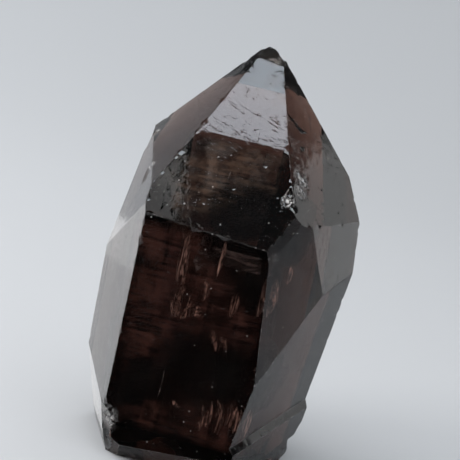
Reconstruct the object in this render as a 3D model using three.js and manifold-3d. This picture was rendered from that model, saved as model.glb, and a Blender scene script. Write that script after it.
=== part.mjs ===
// Smoky quartz crystal: one stout, single-ended quartz point standing upright on its broken base.
//
// Quartz grows as a six-sided prism closed by a six-sided pyramid, and nearly every surface is a
// flat. The crystal is therefore described as a list of flats. The solid is what lies inside all
// of them, and its corners are the points where three or more flats meet. Uneven growth has
// pushed some flats further out than others, so no two faces have the same width.
//
// Units are millimetres. +Z is up, along the crystal's main axis. The front looks towards -Y.

import * as THREE from 'three';
import { ConvexGeometry } from 'three/addons/geometries/ConvexGeometry.js';
import { mergeVertices } from 'three/addons/utils/BufferGeometryUtils.js';
import Module from 'manifold-3d';

// ---- Driving dimensions ----

// The heart is the point on the main axis that every flat is measured from.
const HEART_HEIGHT = 37.9;

// The six pyramid flats of quartz share one tilt and stand sixty degrees apart.
const PYRAMID_TILT = 38;
const SIXTH_TURN = 60;
const FRONT_TURN = -8;

// The top of the front pyramid flat leans back a little more, above a growth line.
const GROWTH_LINE_LEAN = 2;
const GROWTH_LINE_REACH = 18.06;

// A low ledge crosses the bottom of the right side, standing proud of the flat it lies on.
const LEDGE_RISE = 1.0;

// How finely the ball that bites a chip out of an edge is divided.
const CHIP_FINENESS = 6;

// Two corners closer together than this are one corner.
const SAME_CORNER = 1e-4;

// A point this little way outside a flat still counts as lying on it.
const TOUCHING = 1e-6;

// ---- Flats ----

// turn: bearing of the outward normal in degrees; 0 is the front (-Y) and 90 is the right (+X).
// tilt: degrees that the normal points above level; below level is negative.
// reach: distance from the heart to the flat.
function flat(turn, tilt, reach) {
  const bearing = THREE.MathUtils.degToRad(turn);
  const rise = THREE.MathUtils.degToRad(tilt);
  const normal = new THREE.Vector3(
    Math.cos(rise) * Math.sin(bearing),
    -Math.cos(rise) * Math.cos(bearing),
    Math.sin(rise)
  );
  return { normal, reach };
}

// One of the six pyramid flats, counted anticlockwise from above, starting at the front.
function pyramidFlat(place, reach) {
  return flat(FRONT_TURN + place * SIXTH_TURN, PYRAMID_TILT, reach);
}

const pyramid = [
  pyramidFlat(0, 17.75),
  flat(FRONT_TURN, PYRAMID_TILT + GROWTH_LINE_LEAN, GROWTH_LINE_REACH),
  pyramidFlat(1, 19.2),
  pyramidFlat(2, 22.2),
  pyramidFlat(3, 25.6),
  pyramidFlat(4, 24.5),
  pyramidFlat(5, 20.4)
];

// The chipped, blunt tip.
const tip = [
  flat(25, 76, 30.9),
  flat(-2, 58, 25.0)
];

// The upright faces of the prism, and two steep shoulders that join them to the pyramid.
const lowerRightFace = flat(60.5, -8, 20.55);
const prism = [
  flat(-10.5, 0, 19.65),
  flat(45, 5, 19.55),
  flat(54, 9, 19.4),
  lowerRightFace,
  flat(128, -1, 14.3),
  flat(172, 0, 16.1),
  flat(-129, -4, 18.2),
  flat(-70, 0, 19.9),
  flat(-75, -16, 26.4)
];
const shoulders = [
  flat(32, 16, 20.85),
  flat(-78, 12, 19.1)
];

// The flat that the crystal stands on, and the broken surfaces that ring it.
const restingFlat = flat(0, -90, HEART_HEIGHT);
const brokenRim = [
  flat(-5, -40, 37.1),
  flat(-33, -34, 37.2),
  flat(-100, -48, 39.0),
  flat(-160, -50, 39.6),
  flat(150, -42, 36.2),
  flat(95, -45, 38.1),
  flat(50, -55, 40.6)
];

const bodyFlats = [...pyramid, ...tip, ...prism, ...shoulders, restingFlat, ...brokenRim];

// The ledge is the body with its lower right face pushed out, kept only between two slopes.
const ledgeFlats = [
  ...bodyFlats.filter((side) => side !== lowerRightFace),
  { normal: lowerRightFace.normal, reach: lowerRightFace.reach + LEDGE_RISE },
  flat(49.5, 36, -2.4),
  flat(77.5, -51, 36.3)
];

// ---- Chips ----

// Shell-shaped chips broken out of the edges, each one the bite of a ball.
// turn and height place it on the surface; radius is the ball's, and depth is how far it bites.
const chips = [
  // lower left corner
  { turn: -43, height: 5.2, radius: 4.0, depth: 0.3 },
  { turn: -47, height: 2.0, radius: 5.0, depth: 0.6 },
  // lower right corner, and the broken rim at the back
  { turn: 92, height: 5.4, radius: 5.0, depth: 0.35 },
  { turn: 124, height: 0.6, radius: 11.0, depth: 0.6 },
  { turn: 176, height: 0.8, radius: 9.0, depth: 0.6 },
  { turn: -126, height: 1.4, radius: 10.0, depth: 0.7 },
  // bruises on the shoulder edges
  { turn: -108, height: 51.6, radius: 5.0, depth: 0.2 },
  { turn: -72, height: 47.2, radius: 5.0, depth: 0.2 },
  // blunt tip
  { turn: -30, height: 70.8, radius: 3.0, depth: 0.3 }
];

// ---- Solids ----

// The point shared by three flats, or null when they do not meet in one point.
function meetingPoint(first, second, third) {
  const rows = new THREE.Matrix3().set(
    first.normal.x, first.normal.y, first.normal.z,
    second.normal.x, second.normal.y, second.normal.z,
    third.normal.x, third.normal.y, third.normal.z
  );
  if (Math.abs(rows.determinant()) < SAME_CORNER) return null;
  return new THREE.Vector3(first.reach, second.reach, third.reach).applyMatrix3(rows.invert());
}

function isInside(point, flats) {
  return flats.every(({ normal, reach }) => normal.dot(point) <= reach + TOUCHING);
}

// The corners of the solid that lies inside every flat of the list.
function cornersOf(flats) {
  const corners = [];
  for (let i = 0; i < flats.length; i += 1) {
    for (let j = i + 1; j < flats.length; j += 1) {
      for (let k = j + 1; k < flats.length; k += 1) {
        const point = meetingPoint(flats[i], flats[j], flats[k]);
        if (!point || !isInside(point, flats)) continue;
        if (corners.some((corner) => corner.distanceTo(point) < SAME_CORNER)) continue;
        corners.push(point);
      }
    }
  }
  return corners;
}

// The closed solid inside every flat of the list, moved up so that the heart is at its height.
function solidInside(flats) {
  const geometry = new ConvexGeometry(cornersOf(flats));
  geometry.translate(0, 0, HEART_HEIGHT);
  geometry.deleteAttribute('normal');
  geometry.deleteAttribute('uv');
  return mergeVertices(geometry, SAME_CORNER);
}

const wasm = await Module();
wasm.setup();

function toManifold(geometry) {
  return new wasm.Manifold(new wasm.Mesh({
    numProp: 3,
    vertProperties: new Float32Array(geometry.getAttribute('position').array),
    triVerts: new Uint32Array(geometry.getIndex().array)
  }));
}

function toGeometry(manifold) {
  const mesh = manifold.getMesh();
  const geometry = new THREE.BufferGeometry();
  geometry.setAttribute('position', new THREE.BufferAttribute(mesh.vertProperties, 3));
  geometry.setIndex(new THREE.BufferAttribute(mesh.triVerts, 1));
  return geometry;
}

// Moves the solid so that the origin lies under the middle of it, on the resting flat.
function standOnOrigin(geometry) {
  geometry.computeBoundingBox();
  const { min, max } = geometry.boundingBox;
  geometry.translate(-(min.x + max.x) / 2, -(min.y + max.y) / 2, -min.z);
  return geometry;
}

// How far the surface lies from the main axis, level with the given height.
function surfaceDistance(outward, height) {
  const towardsSurface = bodyFlats.filter(({ normal }) => normal.dot(outward) > SAME_CORNER);
  const distances = towardsSurface.map(({ normal, reach }) => (
    (reach - normal.z * (height - HEART_HEIGHT)) / normal.dot(outward)
  ));
  return Math.min(...distances);
}

function chipBall({ turn, height, radius, depth }) {
  const outward = flat(turn, 0, 0).normal;
  const centre = outward.clone().multiplyScalar(surfaceDistance(outward, height) + radius - depth);
  const ball = new THREE.IcosahedronGeometry(radius, CHIP_FINENESS);
  ball.translate(centre.x, centre.y, height);
  ball.deleteAttribute('normal');
  ball.deleteAttribute('uv');
  return mergeVertices(ball, SAME_CORNER);
}

// ---- The crystal ----

const body = toManifold(solidInside(bodyFlats));
const ledge = toManifold(solidInside(ledgeFlats));
const chipped = chips.reduce(
  (solid, chip) => solid.subtract(toManifold(chipBall(chip))),
  body.add(ledge)
);
const crystalShape = standOnOrigin(toGeometry(chipped)).toNonIndexed();
crystalShape.computeVertexNormals();

const smokyQuartz = new THREE.MeshStandardMaterial({
  color: '#3b2a24',
  roughness: 0.08,
  metalness: 0
});

const crystal = new THREE.Mesh(crystalShape, smokyQuartz);
crystal.name = 'quartz_crystal';

const group = new THREE.Group();
group.name = 'smoky_quartz_crystal';
group.add(crystal);

export default group;
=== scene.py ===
import math

import bmesh
import bpy
import numpy as np
from mathutils import Matrix, Vector, noise
from mathutils.geometry import delaunay_2d_cdt


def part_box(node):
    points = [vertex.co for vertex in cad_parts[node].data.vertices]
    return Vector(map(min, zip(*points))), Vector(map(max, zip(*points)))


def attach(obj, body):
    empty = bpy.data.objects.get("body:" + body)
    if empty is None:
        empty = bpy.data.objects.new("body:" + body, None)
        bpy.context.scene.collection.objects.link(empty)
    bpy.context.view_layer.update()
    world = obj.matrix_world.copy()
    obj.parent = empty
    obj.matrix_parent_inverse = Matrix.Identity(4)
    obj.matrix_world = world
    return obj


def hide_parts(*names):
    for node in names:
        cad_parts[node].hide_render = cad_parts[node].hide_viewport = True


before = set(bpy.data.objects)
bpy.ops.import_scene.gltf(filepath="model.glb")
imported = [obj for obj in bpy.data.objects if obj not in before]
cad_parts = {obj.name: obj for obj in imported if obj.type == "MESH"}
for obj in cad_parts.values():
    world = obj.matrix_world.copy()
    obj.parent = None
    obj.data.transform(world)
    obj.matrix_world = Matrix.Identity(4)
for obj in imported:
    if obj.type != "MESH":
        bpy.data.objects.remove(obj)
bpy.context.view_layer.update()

MM = 0.001
NODE = "quartz_crystal"
SEED = 11
rng = np.random.default_rng(SEED)

# The heart is the point on the crystal's main axis that every feature is placed from. It lies this
# far, in mm, from the middle of the crystal's box in x and y, and from the bottom of it in z.
HEART_PLACE = (0.16, 1.92, 37.9)
low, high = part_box(NODE)
heart = Vector(((low.x + high.x) / 2 + HEART_PLACE[0] * MM,
                (low.y + high.y) / 2 + HEART_PLACE[1] * MM,
                low.z + HEART_PLACE[2] * MM))
HEART = np.array(heart) / MM

# ---- The crystal's surface, divided finely enough to carry growth relief and worn edges ----

GRID = 0.45          # spacing of points on a flat, mm
GRID_ROW = 0.866     # spacing of the rows, as a share of the spacing along them
GRID_JITTER = 0.06   # how far a point strays from the grid, mm
EDGE_STEP = 0.34     # spacing of points along an edge, mm
EDGE_ROW = 0.12      # how far in from an edge its wear reaches, mm
EDGE_CLEAR = 0.24    # gap between the worn strip and the grid, mm
SMALL_FLAT = 1.2     # facets smaller than this belong to a chip, mm2
SAME_CORNER = 2e-6   # corners closer together than this are one, m
SAME_FLAT = 0.4      # facets that meet at less than this are one flat, degrees


def flats_of(node):
    """The CAD solid in mm as corner points and flat polygons."""
    bm = bmesh.new()
    bm.from_mesh(node.data)
    bmesh.ops.remove_doubles(bm, verts=bm.verts[:], dist=SAME_CORNER)
    bmesh.ops.dissolve_limit(bm, angle_limit=math.radians(SAME_FLAT), use_dissolve_boundaries=False,
                             verts=bm.verts[:], edges=bm.edges[:])
    bm.verts.index_update()
    corners = np.array([v.co for v in bm.verts]) / MM
    loops = [[v.index for v in f.verts] for f in bm.faces]
    normals = np.array([f.normal for f in bm.faces])
    areas = np.array([f.calc_area() for f in bm.faces]) / MM ** 2
    bm.free()
    return corners, loops, normals, areas


def segment_distance(points, a, b):
    """Distance of every 2-D point to the nearest of the segments a-b."""
    best = np.full(len(points), 1e9)
    for p, q in zip(a, b):
        d = q - p
        t = np.clip(((points - p) @ d) / max(d @ d, 1e-12), 0, 1)
        best = np.minimum(best, np.linalg.norm(points - (p + t[:, None] * d), axis=1))
    return best


def winding_inside(points, loop):
    """Which 2-D points lie inside the closed loop."""
    inside = np.zeros(len(points), bool)
    x, y = points[:, 0], points[:, 1]
    for p, q in zip(loop, np.roll(loop, -1, axis=0)):
        if p[1] == q[1]:
            continue
        crosses = (p[1] > y) != (q[1] > y)
        at = (q[0] - p[0]) * (y - p[1]) / (q[1] - p[1]) + p[0]
        inside ^= crosses & (x < at)
    return inside


def flat_axes(normal):
    """Two directions across a flat: level along it, and up it."""
    side = np.cross(normal, [0.0, 0.0, 1.0])
    if np.linalg.norm(side) < 0.05:
        side = np.cross(normal, [0.0, 1.0, 0.0])
    side /= np.linalg.norm(side)
    return side, np.cross(side, normal) * -1


def inner_points(loop):
    """Points inside a flat's 2-D outline: a row beside each edge, and a loose grid within them."""
    after = np.roll(loop, -1, axis=0)
    step = after - loop
    turn = np.sum(loop[:, 0] * after[:, 1] - after[:, 0] * loop[:, 1])
    inward = np.c_[-step[:, 1], step[:, 0]] * np.sign(turn)
    inward /= np.maximum(np.linalg.norm(inward, axis=1, keepdims=True), 1e-9)
    rows = (loop + after) / 2 + inward * EDGE_ROW
    keep = winding_inside(rows, loop)
    keep &= segment_distance(rows, loop, after) > EDGE_ROW * 0.9

    lo, hi = loop.min(0), loop.max(0)
    ny = int((hi[1] - lo[1]) / (GRID * GRID_ROW)) + 2
    nx = int((hi[0] - lo[0]) / GRID) + 2
    gx, gy = np.meshgrid(np.arange(nx), np.arange(ny))
    grid = np.c_[(lo[0] + (gx + 0.5 * (gy % 2)) * GRID).ravel(), (lo[1] + gy * GRID * GRID_ROW).ravel()]
    grid = grid + rng.uniform(-GRID_JITTER, GRID_JITTER, grid.shape)
    grid = grid[winding_inside(grid, loop)]
    if len(grid):
        grid = grid[segment_distance(grid, loop, after) > EDGE_ROW + EDGE_CLEAR]
    return np.vstack([rows[keep], grid]) if len(grid) else rows[keep]


def fine_surface(node):
    """The solid's flats divided into small triangles, in mm.

    Gives the points, the triangles, the flat each triangle lies on, which points lie on an edge,
    the flats' normals, and which flats are too big to belong to a chip.
    """
    corners, loops, normals, areas = flats_of(node)
    points = [tuple(c) for c in corners]
    on_edge = [True] * len(points)
    split = {}
    big = areas > SMALL_FLAT

    edge_flats = {}
    for f, loop in enumerate(loops):
        for a, b in zip(loop, loop[1:] + loop[:1]):
            edge_flats.setdefault((min(a, b), max(a, b)), []).append(f)

    def edge_points(a, b):
        """The points along the edge from a to b, made once and shared by both its flats."""
        key = (min(a, b), max(a, b))
        if key not in split:
            p, q = corners[key[0]], corners[key[1]]
            count = max(1, round(np.linalg.norm(q - p) / EDGE_STEP))
            if not any(big[f] for f in edge_flats[key]):
                count = 1
            split[key] = list(range(len(points), len(points) + count - 1))
            points.extend(tuple(p + (q - p) * k / count) for k in range(1, count))
            on_edge.extend([True] * (count - 1))
        return split[key] if a == key[0] else split[key][::-1]

    triangles, owner = [], []
    for f, loop in enumerate(loops):
        ring = []
        for a, b in zip(loop, loop[1:] + loop[:1]):
            ring.append(a)
            ring.extend(edge_points(a, b))
        side, up = flat_axes(normals[f])
        base = np.array([points[i] for i in ring])
        origin = base.mean(0)
        outline = np.c_[(base - origin) @ side, (base - origin) @ up]
        every = [Vector(p) for p in outline]
        if big[f]:
            every += [Vector(p) for p in inner_points(outline)]
        verts, _, tris, came_from, _, _ = delaunay_2d_cdt(every, [], [list(range(len(ring)))], 1, 1e-7)
        index = []
        for v, came in zip(verts, came_from):
            if came and min(came) < len(ring):
                index.append(ring[min(came)])
            else:
                index.append(len(points))
                points.append(tuple(origin + side * v.x + up * v.y))
                on_edge.append(False)
        for tri in tris:
            tri = [index[i] for i in tri]
            if len(set(tri)) < 3:
                continue
            p = [np.array(points[i]) for i in tri]
            if np.dot(np.cross(p[1] - p[0], p[2] - p[0]), normals[f]) < 0:
                tri = tri[::-1]
            triangles.append(tri)
            owner.append(f)
    return (np.array(points), np.array(triangles), np.array(owner), np.array(on_edge),
            normals, big)


P, T, OWNER, ON_EDGE, NORMALS, BIG = fine_surface(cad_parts[NODE])

# The flats that each point touches, and the flat it lies on, or -1 on an edge.
touch = [set() for _ in P]
for triangle, flat in zip(T, OWNER):
    for v in triangle:
        touch[v].add(flat)
home = np.array([next(iter(flats)) if len(flats) == 1 else -1 for flats in touch])


# In mm: how high above the heart the growth step lies, its width and its depth.
STEP_HEIGHT, STEP_WIDTH, STEP_RISE = 18.5, 0.5, 0.006
BREAK_DEPTH = 0.22   # how deep the hollows of the broken base are, mm


def growth_step(q):
    """A thin ragged step up across the front of the pyramid."""
    ragged = (0.55 * noise.noise(Vector((q.x / 2.2, 3.0, 0.0)))
              + 0.3 * noise.noise(Vector((q.x / 0.7, 9.0, 0.0))))
    above = (q.z - HEART[2] - STEP_HEIGHT - ragged) / STEP_WIDTH
    return STEP_RISE * min(1.0, max(0.0, above))


def shell_break(q):
    """Shell-like hollows of a broken surface."""
    return BREAK_DEPTH * (abs(noise.noise(q / 2.6 + Vector((2, 5, 8))))
                          + 0.5 * abs(noise.noise(q / 1.1 + Vector((9, 4, 1)))))


# Gentle unevenness of the flats, the growth step, and the broken surfaces round the base.
moved = P.copy()
for v in range(len(P)):
    if home[v] < 0 or not BIG[home[v]]:
        continue
    q = Vector(P[v])
    n = NORMALS[home[v]]
    h = 0.010 * noise.noise(q / 9.0) + 0.004 * noise.noise(q / 3.5 + Vector((7, 1, 3)))
    if n[1] < -0.7 and n[2] > 0.5:
        h += growth_step(q)
    if -0.95 < n[2] < -0.4:
        h -= shell_break(q)
    moved[v] = P[v] + n * h

# Worn edges: points on an edge sink along the mean of the flats that meet there.
edge_normal = np.zeros_like(P)
for v, flats in enumerate(touch):
    if home[v] >= 0:
        continue
    ns = NORMALS[list(flats)]
    m = ns.mean(0)
    m /= np.linalg.norm(m)
    edge_normal[v] = m
    if not all(BIG[f] for f in flats):
        continue
    half = math.acos(np.clip(ns @ m, -1, 1).min())
    moved[v] = P[v] - m * EDGE_ROW * math.tan(half / 2)

# ---- Nicks along the edges: small ball bites, thickest at the bruises ----

EDGE_NICKS = 170     # nicks scattered along all the sharp edges
SHARP = 0.93         # edges whose flats are more alike than this stay clean


def can_be_nicked(v):
    """Whether the point lies on a sharp edge, clear of the ledge and of the broken base."""
    if len(touch[v]) != 2 or np.dot(*NORMALS[list(touch[v])]) >= SHARP:
        return False
    x, _, z = P[v] - HEART
    return z > -28 and not (x > 4 and z < -24)


def nicks():
    """The balls that bite the nicks, each as its centre and radius in mm."""
    made = []
    edge_ids = [v for v in range(len(P)) if home[v] < 0 and all(BIG[f] for f in touch[v])]
    for v in rng.choice([v for v in edge_ids if can_be_nicked(v)], EDGE_NICKS, replace=False):
        r = rng.uniform(0.35, 1.3)
        depth = rng.uniform(0.04, 0.16)
        made.append((P[v] + edge_normal[v] * (r - depth) + rng.normal(0, 0.08, 3), r))
    for centre, spread, count, r_max, deep in BRUISES:
        c = np.array(centre) + HEART
        near = np.argsort(np.linalg.norm(P - c, axis=1))[:400]
        close = near[np.linalg.norm(P[near] - c, axis=1) < spread]
        for v in rng.choice(close, min(count, len(close)), replace=False):
            n = edge_normal[v] if home[v] < 0 else NORMALS[home[v]]
            r = rng.uniform(0.4, r_max)
            made.append((P[v] + n * (r - rng.uniform(0.3, 1.0) * deep), r))
    return made


# Bruised corners: middle (mm from the heart), spread, how many nicks, largest ball, deepest bite.
BRUISES = [
    ((8.9, -10.6, 14.2), 1.9, 10, 0.5, 0.07),
    ((8.9, -12.2, 12.2), 1.7, 8, 0.5, 0.07),
    ((7.3, -15.4, 11.0), 1.4, 8, 0.5, 0.07),
    ((-14.6, -16.8, -31.4), 2.8, 44, 1.2, 0.35),
    ((-17.6, 4.5, 14.6), 1.0, 8, 0.9, 0.20),
    ((-16.2, -7.0, 10.4), 1.0, 8, 0.9, 0.20),
    ((6.6, -19.8, 2.0), 1.2, 8, 0.8, 0.15),
    ((0.2, 2.6, 32.4), 1.7, 6, 0.5, 0.10),
]
for centre, r in nicks():
    d = moved - centre
    dist = np.linalg.norm(d, axis=1)
    inside = dist < r
    moved[inside] = centre + d[inside] * (r / dist[inside])[:, None]
bitten = np.linalg.norm(moved - P, axis=1) > 0.03


def build_mesh(name, p, t):
    """A mesh from points in mm and triangles."""
    me = bpy.data.meshes.new(name)
    me.vertices.add(len(p))
    me.vertices.foreach_set("co", (p * MM).astype(np.float32).ravel())
    me.loops.add(len(t) * 3)
    me.loops.foreach_set("vertex_index", t.astype(np.int32).ravel())
    me.polygons.add(len(t))
    me.polygons.foreach_set("loop_start", np.arange(0, len(t) * 3, 3, dtype=np.int32))
    me.update(calc_edges=True)
    me.validate()
    return me


def corner_normals():
    """The normal at each triangle's corners.

    Flats keep their own normal up to the worn strip, which turns over to the edge's mean normal.
    Chips and nicks are smooth all over.
    """
    group = np.where(BIG[OWNER], OWNER, -1)
    group = np.where(bitten[T].all(axis=1), -1, group)
    strip = ON_EDGE[T].any(axis=1) & ~bitten[T].any(axis=1) & (group >= 0)
    raw = np.cross(moved[T[:, 1]] - moved[T[:, 0]], moved[T[:, 2]] - moved[T[:, 0]])
    keys = T * (len(NORMALS) + 1) + (group[:, None] + 1)
    _, inverse = np.unique(keys.ravel(), return_inverse=True)

    def summed(vectors):
        total = np.zeros((inverse.max() + 1, 3))
        np.add.at(total, inverse, np.repeat(vectors, 3, axis=0))
        return total

    total = summed(np.where(strip, 0.0, 1.0)[:, None] * raw)
    only_strip = np.linalg.norm(total, axis=1) < 1e-12
    total[only_strip] = summed(raw)[only_strip]
    total /= np.linalg.norm(total, axis=1, keepdims=True)
    normals = total[inverse].reshape(-1, 3, 3)
    on_big_edge = [home[v] < 0 and all(BIG[f] for f in touch[v]) for v in range(len(P))]
    round_over = (np.array(on_big_edge) & ~bitten)[T]
    normals[round_over] = edge_normal[T[round_over]]
    return normals


mesh = build_mesh("crystal", moved, T)
for poly in mesh.polygons:
    poly.use_smooth = True
mesh.normals_split_custom_set([tuple(n) for n in corner_normals().reshape(-1, 3)])
worn = mesh.attributes.new("worn", "FLOAT", "POINT")
sharp = [len(f) > 1 and min(np.dot(NORMALS[a], NORMALS[b]) for a in f for b in f) < 0.95 for f in touch]
worn.data.foreach_set("value", (ON_EDGE & np.array(sharp)).astype(np.float32))

crystal = bpy.data.objects.new("crystal", mesh)
bpy.context.scene.collection.objects.link(crystal)

# ---- Material ----

QUARTZ_IOR = 1.544
FLAW_IOR = 1.3


class Nodes:
    """Short names for building a material's nodes."""

    def __init__(self, name):
        self.mat = bpy.data.materials.new(name)
        self.mat.use_nodes = True
        self.nt = self.mat.node_tree
        self.bsdf = self.nt.nodes["Principled BSDF"]
        self.out = self.nt.nodes["Material Output"]

    def put(self, socket, value):
        """Link the socket to another, or give it a value."""
        if isinstance(value, bpy.types.NodeSocket):
            self.nt.links.new(value, socket)
        elif value is not None:
            socket.default_value = value

    def node(self, kind, **inputs):
        """A new node; an input's name has _ for each space."""
        n = self.nt.nodes.new(kind)
        for k, v in inputs.items():
            self.put(n.inputs[k.replace("_", " ")], v)
        return n

    def math(self, op, a, b=None, c=None):
        n = self.nt.nodes.new("ShaderNodeMath")
        n.operation = op
        for i, v in enumerate((a, b, c)):
            self.put(n.inputs[i], v)
        return n.outputs[0]

    def vec(self, op, a, b):
        n = self.nt.nodes.new("ShaderNodeVectorMath")
        n.operation = op
        self.put(n.inputs[0], a)
        self.put(n.inputs[1], b)
        return n.outputs["Value"] if op in ("DISTANCE", "DOT_PRODUCT") else n.outputs[0]

    def mm(self):
        """Place in mm from the heart."""
        at = self.nt.nodes.new("ShaderNodeTexCoord").outputs["Object"]
        return self.vec("SUBTRACT", self.vec("MULTIPLY", at, (1 / MM,) * 3), tuple(HEART))

    def fade(self):
        """1 in the middle of a blade or sheet, 0 along its rim."""
        n = self.nt.nodes.new("ShaderNodeAttribute")
        n.attribute_name = "fade"
        return n.outputs["Fac"]

    def ramp(self, value, low, high, to_low=0.0, to_high=1.0):
        """A smooth change from to_low at low to to_high at high."""
        n = self.nt.nodes.new("ShaderNodeMapRange")
        n.interpolation_type = "SMOOTHSTEP"
        self.put(n.inputs["Value"], value)
        self.put(n.inputs["From Min"], low)
        self.put(n.inputs["From Max"], high)
        self.put(n.inputs["To Min"], to_low)
        self.put(n.inputs["To Max"], to_high)
        return n.outputs[0]

    def noise(self, at, stretch, detail=3.0, rough=0.55, warp=0.0):
        """Noise at a place, with so many waves per mm each way."""
        n = self.node("ShaderNodeTexNoise", Vector=self.vec("MULTIPLY", at, stretch), Scale=1.0,
                      Detail=detail, Roughness=rough, Distortion=warp)
        return n.outputs["Fac"]

    def mix(self, fac, a, b):
        """Colour a where fac is 0, and b where it is 1."""
        n = self.nt.nodes.new("ShaderNodeMix")
        n.data_type = "RGBA"
        self.put(n.inputs["Factor"], fac)
        sockets = [i for i in n.inputs if i.type == "RGBA"]
        self.put(sockets[0], a)
        self.put(sockets[1], b)
        return [o for o in n.outputs if o.type == "RGBA"][0]


def absorb(m, colour, density):
    """Fill the body with smoke that darkens with depth."""
    smoke = m.nt.nodes.new("ShaderNodeVolumeAbsorption")
    smoke.inputs["Color"].default_value = colour
    smoke.inputs["Density"].default_value = density
    m.nt.links.new(smoke.outputs[0], m.out.inputs["Volume"])


def cells(m, at, per_mm, radius, share):
    """Small round marks scattered over the surface: 1 in the middle of a mark."""
    n = m.node("ShaderNodeTexVoronoi", Vector=m.vec("MULTIPLY", at, (per_mm,) * 3), Scale=1.0)
    mark = m.ramp(n.outputs["Distance"], radius * per_mm, 0.35 * radius * per_mm)
    split = m.node("ShaderNodeSeparateColor", Color=n.outputs["Color"])
    chosen = m.math("LESS_THAN", split.outputs[0], share)
    return m.math("MULTIPLY", mark, chosen)


def shards(m, at, per_mm):
    """Height of a crushed surface: every cell is a small flat tilted its own way."""
    n = m.node("ShaderNodeTexVoronoi", Vector=m.vec("MULTIPLY", at, (per_mm,) * 3), Scale=1.0)
    offset = m.vec("SUBTRACT", m.vec("MULTIPLY", at, (per_mm,) * 3), n.outputs["Position"])
    tilt = m.vec("SUBTRACT", n.outputs["Color"], (0.5, 0.5, 0.5))
    return m.math("DIVIDE", m.vec("DOT_PRODUCT", offset, tilt), per_mm)


def near_any(m, at, places, reach):
    """1 close to any of the places, fading to 0 at their reach."""
    total = None
    for centre, spread in places:
        one = m.ramp(m.vec("DISTANCE", at, tuple(centre)), spread * reach, spread * 0.35)
        total = one if total is None else m.math("MAXIMUM", total, one)
    return total


def growth_relief(m, at, back):
    """Growth lines level round the prism, patchy, and strongest at the back."""
    patches = m.ramp(m.noise(at, (0.11, 0.11, 0.2), 2.0), 0.42, 0.62)
    lines = m.noise(at, (0.09, 0.09, 2.6), 4.0, 0.62, 0.25)
    lines = m.math("MULTIPLY", lines, m.math("ADD", m.math("MULTIPLY", patches, 0.8), 0.2))
    bands = m.math("MULTIPLY", m.noise(at, (0.05, 0.05, 0.6), 2.0), 0.7)
    relief = m.math("ADD", m.math("MULTIPLY", back, 0.014), 0.007)
    return m.math("MULTIPLY", m.math("ADD", lines, bands), relief)


def pyramid_dashes(m, at, x, z, slope):
    """Short leaning dashes high on the pyramid, and flecks along its growth step."""
    lean = m.node("ShaderNodeCombineXYZ", Z=m.math("MULTIPLY", x, 0.3)).outputs[0]
    leaning = m.vec("ADD", at, lean)
    dashes = m.ramp(m.noise(leaning, (0.50, 0.50, 2.6), 3.0, 0.62, 0.3), 0.58, 0.65)
    patches = m.ramp(m.noise(at, (0.22, 0.22, 0.34), 2.0, 0.6), 0.44, 0.58)
    patches = m.math("MULTIPLY", patches, m.ramp(z, 12.0, 17.0))
    step = m.math("ADD", z, m.math("MULTIPLY", m.noise(at, (0.5, 0.5, 0.0), 3.0, 0.7), -3.2))
    by_step = m.math("MULTIPLY", m.ramp(step, 15.2, 16.0), m.ramp(step, 18.2, 16.8))
    by_step = m.math("MULTIPLY", by_step, m.ramp(z, 18.0, 18.6))
    flecks = m.ramp(m.noise(leaning, (0.9, 0.9, 2.0), 3.0, 0.6, 0.4), 0.56, 0.64)
    both = m.math("MAXIMUM", m.math("MULTIPLY", dashes, patches), m.math("MULTIPLY", flecks, by_step))
    return m.math("MULTIPLY", both, slope)


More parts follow.
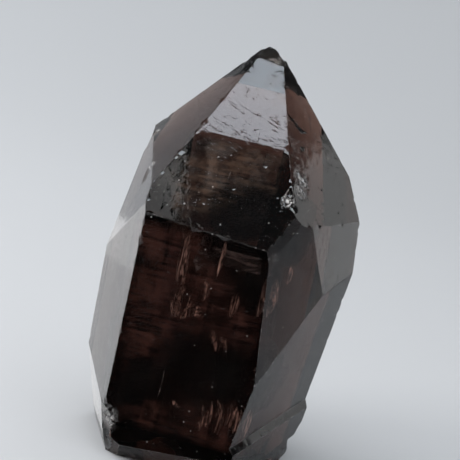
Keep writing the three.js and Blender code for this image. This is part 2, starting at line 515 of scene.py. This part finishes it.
def smoky_quartz():
    """The crystal: clear inside, darker with depth, its surface marked by growth and by wear."""
    m = Nodes("smoky_quartz")
    at = m.mm()
    surface = m.nt.nodes.new("ShaderNodeNewGeometry").outputs["Normal"]
    normal = m.node("ShaderNodeSeparateXYZ", Vector=surface)
    nx, ny, nz = normal.outputs["X"], normal.outputs["Y"], normal.outputs["Z"]
    place = m.node("ShaderNodeSeparateXYZ", Vector=at)
    x, z = place.outputs["X"], place.outputs["Z"]
    upright = m.ramp(m.math("ABSOLUTE", nz), 0.42, 0.3)
    slope = m.math("MULTIPLY", m.ramp(nz, 0.35, 0.5), m.ramp(nz, 0.95, 0.8))
    back = m.ramp(ny, 0.1, 0.5)
    broken = m.ramp(nz, -0.22, -0.36)
    unbroken = m.math("MULTIPLY", upright, m.math("SUBTRACT", 1.0, broken))

    dashes = pyramid_dashes(m, at, x, z, slope)
    hillocks = m.noise(at, (0.7, 0.7, 0.4), 3.0, 0.5, 0.6)
    small_pits = m.math("MULTIPLY", cells(m, at, 1.1, 0.18, 0.12), 0.6)
    pits = m.math("MAXIMUM", cells(m, at, 0.5, 0.30, 0.45), small_pits)
    scratches = m.ramp(m.noise(at, (0.30, 1.8, 0.24), 4.0, 0.7, 1.6), 0.66, 0.71)
    brushed = m.ramp(m.noise(at, (1.5, 1.5, 0.05), 4.0, 0.7, 0.3), 0.56, 0.68)
    brushed = m.math("MULTIPLY", brushed, upright)
    grain = m.noise(at, (2.6, 2.6, 2.6), 3.0, 0.6)
    # dashes are cut deep above the growth step and on the pyramid's side faces
    cut = m.ramp(z, 17.9, 18.4)
    cut = m.math("MAXIMUM", cut, m.ramp(m.math("ABSOLUTE", nx), 0.3, 0.45))
    cut = m.math("MULTIPLY", dashes, cut)

    height = m.math("MULTIPLY", growth_relief(m, at, back), unbroken)
    for mark, rise in ((hillocks, 0.016), (grain, 0.0016), (cut, -0.038), (pits, -0.03),
                       (scratches, -0.02), (brushed, -0.012)):
        height = m.math("ADD", height, m.math("MULTIPLY", mark, rise))

    # crushed, whitish bruises
    crush = near_any(m, at, [(middle, spread) for middle, spread, *_ in BRUISES], 1.1)
    crush = m.math("MULTIPLY", crush, m.ramp(m.noise(at, (0.9, 0.9, 0.9), 4.0, 0.7), 0.42, 0.54))
    crushed = m.math("MULTIPLY", m.math("MULTIPLY", shards(m, at, 1.7), crush), 1.8)
    height = m.math("ADD", height, crushed)
    bump = m.node("ShaderNodeBump", Strength=1.0, Distance=MM, Height=height)

    # wear along the edges, specks of dust, and a thin film where the surface is clouded
    worn = m.nt.nodes.new("ShaderNodeAttribute")
    worn.attribute_name = "worn"
    rubbed = m.ramp(m.noise(at, (1.3, 1.3, 1.3), 3.0, 0.7), 0.45, 0.62)
    worn = m.math("MULTIPLY", worn.outputs["Fac"], rubbed)
    small_specks = m.math("MULTIPLY", cells(m, at, 1.1, 0.09, 0.10), 0.8)
    specks = m.math("MAXIMUM", cells(m, at, 0.36, 0.11, 0.9), small_specks)
    clouded = near_any(m, at, CLOUDED, 1.0)
    film = m.ramp(m.noise(at, (0.22, 0.22, 0.16), 4.0, 0.6, 0.5), 0.34, 0.70)
    film = m.math("MULTIPLY", film, m.math("ADD", m.math("MULTIPLY", clouded, 0.93), 0.04))
    crumbs = m.ramp(m.noise(at, (3.4, 3.4, 3.4), 2.0, 0.5), 0.40, 0.62)
    crumbs = m.math("MULTIPLY", crush, crumbs)

    dull = m.math("ADD", m.math("MULTIPLY", film, 0.055), 0.0006)
    for mark, share in ((crumbs, 0.75), (worn, 0.14), (specks, 0.85)):
        dull = m.math("ADD", dull, m.math("MULTIPLY", mark, share))
    m.put(m.bsdf.inputs["Transmission Weight"], m.math("SUBTRACT", 1.0, m.math("MINIMUM", dull, 1.0)))

    rough = m.math("ADD", m.math("MULTIPLY", film, 0.03), 0.010)
    for mark, share in ((crush, 0.10), (dashes, 0.24), (pits, 0.25), (worn, 0.3), (back, 0.03),
                        (broken, 0.20), (specks, 0.4)):
        rough = m.math("ADD", rough, m.math("MULTIPLY", mark, share))
    m.put(m.bsdf.inputs["Roughness"], m.math("MINIMUM", rough, 1.0))

    m.put(m.bsdf.inputs["Normal"], bump.outputs[0])
    tone = m.math("MULTIPLY", m.ramp(m.noise(at, (0.4, 0.4, 0.3), 3.0), 0.3, 0.7), clouded)
    m.put(m.bsdf.inputs["Base Color"], m.mix(tone, (1.0, 0.97, 0.94, 1), (0.92, 0.70, 0.57, 1)))
    m.bsdf.inputs["IOR"].default_value = QUARTZ_IOR
    absorb(m, (0.50, 0.35, 0.29, 1), 220.0)
    return m.mat


# Where the surface is clouded: middle (mm from the heart) and reach.
CLOUDED = [
    ((-9.0, -12.5, 12.5), 9.0),
    ((-1.5, -11.3, 15.0), 5.5),
    ((9.5, -4.0, 20.5), 9.0),
    ((3.5, -1.0, 28.0), 6.5),
    ((0.0, 3.0, 32.5), 3.5),
    ((13.5, -12.0, -4.0), 9.0),
    ((4.0, 13.0, -8.0), 8.0),
    ((-14.0, 8.0, 14.0), 8.0),
]
mesh.materials.append(smoky_quartz())
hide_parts(NODE)
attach(crystal, "root")

# ---- Flaws inside the crystal ----


FRONT_LOOK = np.array([0.19, -0.98, 0.0])   # out through the front face


def inner_piece(name, me, material):
    """Put a flaw's mesh inside the crystal."""
    for p in me.polygons:
        p.use_smooth = True
    me.materials.append(material)
    o = bpy.data.objects.new(name, me)
    bpy.context.scene.collection.objects.link(o)
    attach(o, "root")


def thin_body(name, skins, fades, material):
    """A closed thin body between two skins, each a grid of points in mm from the heart.

    fades says how much of the flaw is there: 1 in its middle, 0 along its rim.
    """
    rows, columns = skins.shape[1] - 1, skins.shape[2] - 1

    def at(skin, i, j):
        return (skin * (rows + 1) + i) * (columns + 1) + j

    faces = []
    for i in range(rows):
        for j in range(columns):
            faces.append((at(0, i, j), at(0, i, j + 1), at(0, i + 1, j + 1), at(0, i + 1, j)))
            faces.append((at(1, i, j), at(1, i + 1, j), at(1, i + 1, j + 1), at(1, i, j + 1)))
        faces.append((at(0, i, 0), at(0, i + 1, 0), at(1, i + 1, 0), at(1, i, 0)))
        faces.append((at(0, i + 1, columns), at(0, i, columns),
                      at(1, i, columns), at(1, i + 1, columns)))
    for j in range(columns):
        faces.append((at(0, 0, j + 1), at(0, 0, j), at(1, 0, j), at(1, 0, j + 1)))
        faces.append((at(0, rows, j), at(0, rows, j + 1), at(1, rows, j + 1), at(1, rows, j)))
    me = bpy.data.meshes.new(name)
    me.from_pydata(((skins.reshape(-1, 3) + HEART) * MM).tolist(), [], faces)
    me.update()
    me.attributes.new("fade", "FLOAT", "POINT").data.foreach_set("value", list(fades) * 2)
    inner_piece(name, me, material)


def smooth_path(points, count):
    """A smooth curve through the points, as count + 1 points evenly spread along it."""
    path = []
    for i in range(count + 1):
        whole = i / count * (len(points) - 1)
        k = min(int(whole), len(points) - 2)
        f = whole - k
        a, b = points[k], points[k + 1]
        before, after = points[max(k - 1, 0)], points[min(k + 2, len(points) - 1)]
        bend = 2 * before - 5 * a + 4 * b - after + f * (3 * (a - b) + after - before)
        path.append(a + 0.5 * f * (b - before + f * bend))
    return path


LEAF_ROWS, LEAF_COLUMNS = 28, 8
LEAF_WRINKLE = 0.12     # mm
LEAF_THICKNESS = 0.02   # mm


def leaf(name, points, width, twist, material):
    """A thin blade along a smooth path through the points, in mm from the heart.

    Its faces look out through the front face, turned by twist degrees.
    """
    pts = [np.array(p, float) for p in points]
    if len(pts) == 2:
        pts.insert(1, (pts[0] + pts[1]) / 2)
    heading = pts[-1] - pts[0]
    heading /= np.linalg.norm(heading)
    side = np.cross(heading, FRONT_LOOK)
    side /= np.linalg.norm(side)
    out = np.cross(side, heading)
    t = math.radians(twist)
    side, out = side * math.cos(t) + out * math.sin(t), out * math.cos(t) - side * math.sin(t)
    seed = float(rng.uniform(0, 100))
    skins = np.zeros((2, LEAF_ROWS + 1, LEAF_COLUMNS + 1, 3))
    fades = []
    for i, c in enumerate(smooth_path(pts, LEAF_ROWS)):
        u = i / LEAF_ROWS
        w = width * math.sin(math.pi * min(max(u, 0.03), 0.97)) ** 0.7
        w *= 1 + 0.35 * noise.noise(Vector((u * 5, seed, 1)))
        for j in range(LEAF_COLUMNS + 1):
            v = j / LEAF_COLUMNS - 0.5
            wrinkle = LEAF_WRINKLE * noise.noise(Vector((u * 6 + seed, v * 3, 2)))
            p = c + side * (v * w) + out * (wrinkle + 0.25 * w * v * v)
            edge = 4 * (0.25 - v * v) * math.sin(math.pi * u)
            half = out * (LEAF_THICKNESS / 2 * max(edge, 0.05))
            skins[:, i, j] = p + half, p - half
            fades.append(min(1.0, 1.5 * edge))
    thin_body(name, skins, fades, material)


def flaw_material(name, dark, bright, painted_glow, cover, stretch):
    """A fracture or cloud: streaky, partly see-through, and glowing with painted light in its bright
    streaks, in place of the light that strays into it.
    """
    m = Nodes(name)
    at = m.mm()
    streaks = m.noise(at, stretch, 4.0, 0.65, 0.8)
    body = m.ramp(streaks, 0.38, 0.72)
    m.put(m.bsdf.inputs["Base Color"], m.mix(body, dark, bright))
    # Painted light: the flaw glows in its bright streaks, as strongly as its glow setting says.
    m.put(m.bsdf.inputs["Emission Color"], m.mix(body, dark, bright))
    m.put(m.bsdf.inputs["Emission Strength"], m.math("MULTIPLY", m.math("POWER", body, 1.4), painted_glow))
    covered = m.math("MULTIPLY", m.ramp(streaks, 0.32, 0.62), cover)
    m.put(m.bsdf.inputs["Alpha"], m.math("MULTIPLY", covered, m.fade()))
    m.put(m.bsdf.inputs["Roughness"], m.ramp(streaks, 0.3, 0.7, 0.3, 0.6))
    m.bsdf.inputs["IOR"].default_value = FLAW_IOR
    return m.mat


def haze_material(name, glow_places, glow_held_back, glow_tones, painted_glow, cover):
    """Clouding just under a face: level brush marks and upright wisps, glowing with painted light near
    its glow places, and darker where that painted glow is held back.
    """
    m = Nodes(name)
    at = m.mm()
    level = m.noise(at, (0.13, 0.13, 1.7), 4.0, 0.62, 0.6)
    upright = m.noise(at, (0.8, 0.8, 0.07), 4.0, 0.6, 0.7)
    patchy = m.noise(at, (0.22, 0.22, 0.26), 4.0, 0.62, 0.5)
    mark = m.math("ADD", m.math("MULTIPLY", level, 0.38), m.math("MULTIPLY", upright, 0.27))
    mark = m.ramp(m.math("ADD", mark, m.math("MULTIPLY", patchy, 0.35)), 0.41, 0.60)
    drift = m.node("ShaderNodeTexNoise", Vector=at, Scale=0.26, Detail=4.0, Roughness=0.6)
    drift = m.vec("SUBTRACT", drift.outputs["Color"], (0.5, 0.5, 0.5))
    drifted = m.vec("ADD", at, m.vec("MULTIPLY", drift, (9.0, 9.0, 9.0)))
    # Painted light: light marks where the haze glows, and smoke marks where that painted glow is held
    # back, which leaves the sheet darker there.
    light = near_any(m, drifted, glow_places, 1.0)
    smoke = near_any(m, drifted, glow_held_back, 1.0)
    painted_shine = m.math("MULTIPLY", m.math("ADD", m.math("MULTIPLY", mark, 0.93), 0.07), light)
    painted_shine = m.math("MULTIPLY", painted_shine, m.math("SUBTRACT", 1.0, m.math("MULTIPLY", smoke, 0.95)))
    m.put(m.bsdf.inputs["Base Color"],
          m.mix(mark, (0.006, 0.004, 0.004, 1), (0.030, 0.018, 0.015, 1)))
    # The colour and strength of the painted glow.
    m.put(m.bsdf.inputs["Emission Color"], m.mix(patchy, glow_tones[0], glow_tones[1]))
    m.put(m.bsdf.inputs["Emission Strength"], m.math("MULTIPLY", painted_shine, painted_glow))
    covered = m.math("MULTIPLY", m.ramp(mark, 0.0, 1.0, 0.65, 1.0), cover)
    m.put(m.bsdf.inputs["Alpha"], m.math("MULTIPLY", covered, m.fade()))
    m.put(m.bsdf.inputs["Roughness"], m.ramp(mark, 0.0, 1.0, 0.4, 0.7))
    m.bsdf.inputs["IOR"].default_value = FLAW_IOR
    return m.mat


# Where the haze under the front face and under the front of the pyramid glows with painted light, and
# where that painted glow is held back: middle (mm from the heart) and reach.
FRONT_GLOW = [
    ((-10.0, -11.5, -1.0), 10.0),
    ((-9.5, -11.5, -11.0), 10.0),
    ((-3.0, -12.8, -8.0), 8.0),
    ((-11.5, -11.0, -18.0), 6.5),
    ((-6.0, -12.0, -33.5), 8.0),
    ((3.0, -13.8, -30.0), 8.5),
    ((4.0, -14.0, -11.5), 6.0),
]
FRONT_GLOW_HELD_BACK = [
    ((0.0, -13.2, -20.0), 10.5),
    ((-9.5, -11.5, -25.5), 6.5),
    ((6.0, -14.3, -3.5), 6.5),
]
PYRAMID_GLOW = [
    ((-2.5, -9.5, 13.0), 7.5),
    ((-8.5, -10.5, 9.0), 7.5),
    ((3.5, -9.0, 13.5), 5.5),
    ((-2.0, -7.0, 15.5), 6.0),
]
PYRAMID_GLOW_HELD_BACK = [
    ((2.5, -13.8, 6.0), 6.0),
]
# These flaws glow with painted light in their bright streaks; the dark crack's glow is 0, so it does not
# glow.
copper = flaw_material("copper_flaw", (0.12, 0.06, 0.05, 1), (0.62, 0.42, 0.36, 1),
                       painted_glow=0.50, cover=0.74, stretch=(3.0, 3.0, 0.30))
cloud = flaw_material("inner_cloud", (0.05, 0.030, 0.026, 1), (0.36, 0.24, 0.21, 1),
                      painted_glow=0.17, cover=0.55, stretch=(0.8, 0.8, 0.3))
crack = flaw_material("dark_crack", (0.003, 0.002, 0.002, 1), (0.010, 0.007, 0.006, 1),
                      painted_glow=0.0, cover=4.0, stretch=(1.5, 1.5, 1.5))
pale = flaw_material("pale_flaw", (0.45, 0.40, 0.38, 1), (0.95, 0.90, 0.86, 1),
                     painted_glow=0.16, cover=1.0, stretch=(2.0, 2.0, 2.0))

# name, path in mm from the heart, width in mm, twist in degrees, material
LEAVES = [
    # streaks under the top of the front face
    ("streak_a", [(-7.5, -14.6, 3.5), (-7.1, -14.7, -1.5), (-6.8, -14.7, -7.4)], 2.4, 10, copper),
    ("streak_b", [(-0.9, -15.8, 3.3), (-0.9, -15.8, -0.3), (-1.0, -15.8, -3.8)], 0.8, -10, copper),
    # the bright knot and the fan that spreads from it
    ("knot_a", [(-6.0, -13.9, -6.6), (-6.7, -13.8, -9.6), (-6.4, -13.8, -12.6)], 2.2, 10, copper),
    ("knot_b", [(-5.7, -13.6, -7.6), (-6.2, -13.6, -10.4), (-6.0, -13.6, -12.2)], 1.6, -25, copper),
    ("arc", [(-3.2, -14.4, -4.2), (-2.1, -14.6, -5.9), (-2.3, -14.6, -8.2)], 1.3, 15, copper),
    ("leaf_a", [(0.4, -14.1, -12.7), (1.0, -14.2, -14.5), (1.7, -14.3, -16.2)], 1.4, 15, copper),
    ("leaf_b", [(2.0, -14.4, -13.1), (2.6, -14.5, -14.3), (3.2, -14.6, -15.6)], 1.1, -20, copper),
    ("leaf_c", [(2.6, -14.5, -5.2), (2.9, -14.5, -7.6), (2.7, -14.5, -10.0)], 1.9, 15, copper),
    ("low_small", [(-3.8, -15.3, -25.9), (-3.0, -15.5, -26.5), (-2.2, -15.6, -26.8)], 0.8, 10, copper),
    ("right_a", [(7.0, -16.0, -1.7), (7.2, -16.5, -5.0), (6.7, -17.1, -8.4)], 2.0, 25, copper),
    ("right_b", [(8.9, -13.7, 0.8), (9.2, -14.0, -1.2), (8.8, -14.3, -3.0)], 1.3, 20, copper),
    ("brown_left", [(-7.0, -8.0, 11.5), (-6.0, -10.5, 7.5), (-5.0, -13.0, 3.8)], 3.0, 10, cloud),
    # cracks that reach the surface
    ("crack_right", [(3.9, -3.7, 23.6), (5.6, -3.3, 22.2), (7.0, -2.9, 21.1), (8.2, -2.0, 20.8)],
     0.95, 5, crack),
    ("crack_right_pit", [(7.3, -5.6, 18.7), (8.2, -5.1, 18.1)], 1.2, 0, crack),
    ("crack_front", [(2.2, -8.9, 17.7), (2.1, -10.3, 16.1), (2.0, -11.5, 14.4)], 0.08, 0, crack),
    ("crack_left", [(-14.1, -13.5, 9.0), (-13.4, -12.7, 10.2), (-12.7, -11.9, 11.3)], 0.18, 0, crack),
    ("scratch", [(-6.3, -18.7, -20.1), (-6.3, -18.7, -23.0), (-6.5, -18.7, -25.8)], 0.035, 0, pale),
    ("sliver_a", [(7.0, -14.2, 12.8), (6.6, -14.8, 11.8), (6.4, -15.3, 10.7)], 0.22, 0, pale),
    ("sliver_b", [(-2.8, -11.0, 13.4), (-3.2, -12.6, 11.0)], 0.14, 0, pale),
]
# the fan's blades, from nearly upright to nearly level
for i in range(6):
    a = math.radians(76 - i * 11)
    mid_at = (-5.4 + 1.6 * math.cos(a) + 0.4, -14.1, -12.0 + 2.4 * math.sin(a))
    tip_at = (-5.6 + 4.2 * math.cos(a), -14.1 - 0.1 * i, -12.2 + 4.4 * math.sin(a))
    LEAVES.append((f"fan_{i}", [(-5.6, -14.0, -12.3), mid_at, tip_at], 0.7, 12 * i - 30, copper))
# the row of flames low behind the front face, tallest a little right of its middle
for i in range(11):
    x = 1.6 + 0.62 * i + rng.uniform(-0.3, 0.3)
    top = -23.5 - 0.35 * abs(i - 6) + rng.uniform(-0.8, 0.8)
    long = rng.uniform(3.0, 6.5)
    y = -15.2 - 0.1 * i
    path = [(x, y, top), (x + 0.5, y, top - long / 2), (x + 0.2, y, top - long)]
    LEAVES.append((f"flame_{i}", path, rng.uniform(0.5, 1.1), rng.uniform(-40, 40), copper))
for name, path, width, twist, material in LEAVES:
    leaf(name, path, width, twist, material)


SHEET_GRID = 26
SHEET_THICKNESS = 0.03   # mm


def sheet(name, corners, material, bulge):
    """A broad wavy cloud through four corners, in mm from the heart."""
    a, b, c, d = (np.array(p, float) for p in corners)
    out = np.cross(b - a, d - a)
    out /= np.linalg.norm(out)
    seed = float(rng.uniform(0, 100))
    skins = np.zeros((2, SHEET_GRID + 1, SHEET_GRID + 1, 3))
    fades = []
    for i in range(SHEET_GRID + 1):
        for j in range(SHEET_GRID + 1):
            u, v = i / SHEET_GRID, j / SHEET_GRID
            p = a * (1 - u) * (1 - v) + b * u * (1 - v) + c * u * v + d * (1 - u) * v
            p = p + out * bulge * noise.noise(Vector((u * 3 + seed, v * 3, 0)))
            edge = min(u, v, 1 - u, 1 - v) * 4
            half = out * (SHEET_THICKNESS / 2 * min(1, max(edge, 0.04)))
            skins[:, i, j] = p - half, p + half
            fades.append(min(1.0, 3.0 * edge))
    thin_body(name, skins, fades, material)


# Both hazes glow with painted light in the places listed above, in the tones given here.
brown_haze_glow = haze_material("brown_haze_glow", FRONT_GLOW, FRONT_GLOW_HELD_BACK,
                           ((0.50, 0.25, 0.27, 1), (0.70, 0.35, 0.26, 1)), painted_glow=0.090, cover=0.80)
golden_haze_glow = haze_material("golden_haze_glow", PYRAMID_GLOW, PYRAMID_GLOW_HELD_BACK,
                            ((0.52, 0.42, 0.36, 1), (0.68, 0.48, 0.34, 1)), painted_glow=0.17, cover=0.60)
# The grey veils glow faintly with painted light in their bright streaks.
grey_veil = flaw_material("grey_veil", (0.16, 0.13, 0.13, 1), (0.34, 0.29, 0.28, 1),
                          painted_glow=0.11, cover=0.8, stretch=(0.14, 0.14, 0.4))
sheet("front_haze", [(-16.0, -10.3, 3.2), (8.4, -14.8, 1.2), (8.0, -14.7, -33.0), (-14.4, -10.6, -33.0)],
      brown_haze_glow, bulge=0.5)
sheet("pyramid_haze", [(-12.2, -15.1, 2.0), (4.6, -17.4, 2.0), (6.2, -6.4, 16.6), (-10.2, -4.0, 16.6)],
      golden_haze_glow, bulge=0.4)
sheet("veil_top", [(-3.6, -14.3, 1.2), (5.6, -16.0, 1.2), (6.0, -16.1, -1.6), (-2.8, -14.5, -1.9)],
      grey_veil, bulge=0.15)
sheet("triangle", [(-4.7, -16.1, 2.7), (-2.7, -16.5, -1.1), (-4.5, -16.1, -3.6), (-5.5, -15.9, -2.1)],
      grey_veil, bulge=0.1)


def smoky_zone(name, middle, radii, colour, density):
    """A darker, smokier part of the crystal that doesn't bend light at its own surface."""
    bm = bmesh.new()
    bmesh.ops.create_icosphere(bm, subdivisions=5, radius=1.0)
    for v in bm.verts:
        d = v.co.normalized()
        r = 1.0 + 0.42 * noise.noise(d * 1.5 + Vector((3, 1, 0))) + 0.12 * noise.noise(d * 3.5)
        v.co = (Vector([d[k] * radii[k] * r + middle[k] for k in range(3)]) + Vector(HEART)) * MM
    me = bpy.data.meshes.new(name)
    bm.to_mesh(me)
    bm.free()
    m = Nodes(name)
    tint = m.noise(m.mm(), (0.3, 0.3, 0.3))
    m.put(m.bsdf.inputs["Base Color"], m.mix(tint, (0.95, 0.94, 0.93, 1), (1, 1, 1, 1)))
    m.bsdf.inputs["Transmission Weight"].default_value = 1.0
    m.bsdf.inputs["IOR"].default_value = 1.0
    m.bsdf.inputs["Roughness"].default_value = 0.0
    absorb(m, colour, density)
    inner_piece(name, me, m.mat)


smoky_zone("smoky_zone_high", (1.6, -4.0, 3.4), (7.8, 6.8, 5.6), (0.25, 0.15, 0.14, 1), 260.0)
smoky_zone("smoky_zone_low", (-1.5, -5.0, -21.0), (11.0, 6.0, 6.0), (0.30, 0.16, 0.13, 1), 110.0)

# ---- Stage ----


def plain_material(name, colour, roughness, specular):
    mat = bpy.data.materials.new(name)
    mat.use_nodes = True
    bsdf = mat.node_tree.nodes["Principled BSDF"]
    bsdf.inputs["Base Color"].default_value = colour
    bsdf.inputs["Roughness"].default_value = roughness
    bsdf.inputs["Specular IOR Level"].default_value = specular
    return mat


def stage_piece(name, verts, faces, material):
    me = bpy.data.meshes.new(name)
    me.from_pydata(verts, [], faces)
    me.update()
    me.materials.append(material)
    o = bpy.data.objects.new(name, me)
    bpy.context.scene.collection.objects.link(o)
    return o


def bowl(name, flat_radius, outer_radius, height, material):
    """A round floor, level in the middle, that curves up all round its rim. Sizes in metres."""
    rings, turns = 60, 96
    verts, faces = [(0, 0, 0)], []
    for r in range(1, rings + 1):
        radius = outer_radius * (r / rings) ** 1.6
        rise = height * max(0.0, (radius - flat_radius) / (outer_radius - flat_radius)) ** 2
        for k in range(turns):
            angle = 2 * math.pi * k / turns
            verts.append((radius * math.cos(angle), radius * math.sin(angle), rise))
    for k in range(turns):
        faces.append((0, 1 + k, 1 + (k + 1) % turns))
    for r in range(rings - 1):
        for k in range(turns):
            a = 1 + r * turns + k
            b = 1 + r * turns + (k + 1) % turns
            faces.append((a, a + turns, b + turns, b))
    o = stage_piece(name, verts, faces, material)
    for p in o.data.polygons:
        p.use_smooth = True
    return o


floor = bowl("floor", 0.35, 1.4, 0.55, plain_material("floor", (0.62, 0.63, 0.65, 1), 0.9, 0.1))

world = bpy.data.worlds.new("studio")
bpy.context.scene.world = world
world.use_nodes = True
background = world.node_tree.nodes["Background"]
background.inputs["Color"].default_value = (0.9, 0.95, 1.0, 1)
background.inputs["Strength"].default_value = 0.06


def softbox(name, middle, facing, width, height, radiance, seen_by, color=(1, 1, 1)):
    """A soft lamp. middle, width and height are in mm, middle from the crystal's heart.

    facing is where it shines. It is seen by "floor", and lights it, or by "gloss", as a card that
    shows only in reflections.
    """
    lamp = bpy.data.lights.new(name, "AREA")
    lamp.shape = "RECTANGLE"
    lamp.size, lamp.size_y = width * MM, height * MM
    lamp.energy = radiance * math.pi * lamp.size * lamp.size_y
    lamp.color = color
    o = bpy.data.objects.new(name, lamp)
    o.location = heart + Vector(middle) * MM
    o.rotation_mode = "QUATERNION"
    o.rotation_quaternion = Vector(facing).to_track_quat("-Z", "Y")
    o.visible_camera = False
    o.visible_diffuse = seen_by == "floor"
    o.visible_glossy = seen_by == "gloss"
    o.visible_transmission = False
    o.visible_volume_scatter = False
    bpy.context.scene.collection.objects.link(o)


softbox("top", (-70, -27, 420), (0, 0, -1), 300, 220, 6.4, "gloss", (0.86, 0.94, 1.04))
softbox("haze", (-205, -200, 420), (0, 0, -1), 174, 110, 1.04, "gloss")
softbox("top_soft", (-160, 60, 520), (0.15, 0, -1), 300, 260, 1.0, "floor")
softbox("ceiling", (-350, 0, 1250), (0, 0, -1), 2400, 2400, 1.22, "floor", (0.94, 0.975, 1.0))
softbox("left_fill", (-600, 250, 500), (0.8, 0.0, -0.5), 700, 600, 1.6, "floor")
softbox("left_key", (-290, -150, 220), (0.8, 0.4, -0.55), 170, 170, 5.8, "floor", (1.0, 0.97, 0.94))
softbox("left_card", (-132, 118, -36), (0, 0, 1), 85, 260, 0.74, "gloss")
softbox("left_card_dim", (-47, 118, -36), (0, 0, 1), 85, 260, 0.40, "gloss")
softbox("right_card", (265, 141, 90), (-0.883, -0.469, 0), 170, 220, 1.0, "gloss")


# A dark card on the floor in front of the crystal, which shows only in reflections: its left, right,
# near and far sides and its height, in mm.
LEFT, RIGHT, NEAR, FAR, RAISED = -330, 60, -420, -19.5, 1.0
front_flag = stage_piece(
    "front_flag",
    [(x * MM, y * MM, RAISED * MM) for x, y in ((LEFT, NEAR), (RIGHT, NEAR), (RIGHT, FAR), (LEFT, FAR))],
    [(0, 1, 2, 3)], plain_material("front_flag", (0.01, 0.01, 0.01, 1), 1.0, 0.0))
front_flag.visible_camera = front_flag.visible_diffuse = front_flag.visible_transmission = False
front_flag.visible_shadow = front_flag.visible_volume_scatter = False

# ---- Camera ----

# It looks at the front from a little above, rolled so that the crystal leans to the right.
TILT, ROLL = math.radians(10.8), math.radians(12.8)
DISTANCE = 228.07             # from the heart, mm
ACROSS, ALONG = -0.93, 1.18   # how far right of the heart and above it the camera aims, mm
FOCAL_LENGTH, SENSOR = 101.74, 36

right = Vector((1, 0, 0))
forward = Vector((0, math.cos(TILT), -math.sin(TILT)))
up = Vector((0, math.sin(TILT), math.cos(TILT)))
cam_x = right * math.cos(ROLL) + up * math.sin(ROLL)
cam_y = -right * math.sin(ROLL) + up * math.cos(ROLL)
spot = heart + (right * ACROSS + up * ALONG - forward * DISTANCE) * MM
cam_data = bpy.data.cameras.new("camera")
cam_data.lens = FOCAL_LENGTH
cam_data.sensor_width = SENSOR
cam_data.clip_start, cam_data.clip_end = 0.01, 10
camera = bpy.data.objects.new("camera", cam_data)
bpy.context.scene.collection.objects.link(camera)
camera.matrix_world = Matrix((
    (cam_x.x, cam_y.x, -forward.x, spot.x),
    (cam_x.y, cam_y.y, -forward.y, spot.y),
    (cam_x.z, cam_y.z, -forward.z, spot.z),
    (0, 0, 0, 1),
))
bpy.context.scene.camera = camera
bpy.context.scene.view_settings.view_transform = "Standard"
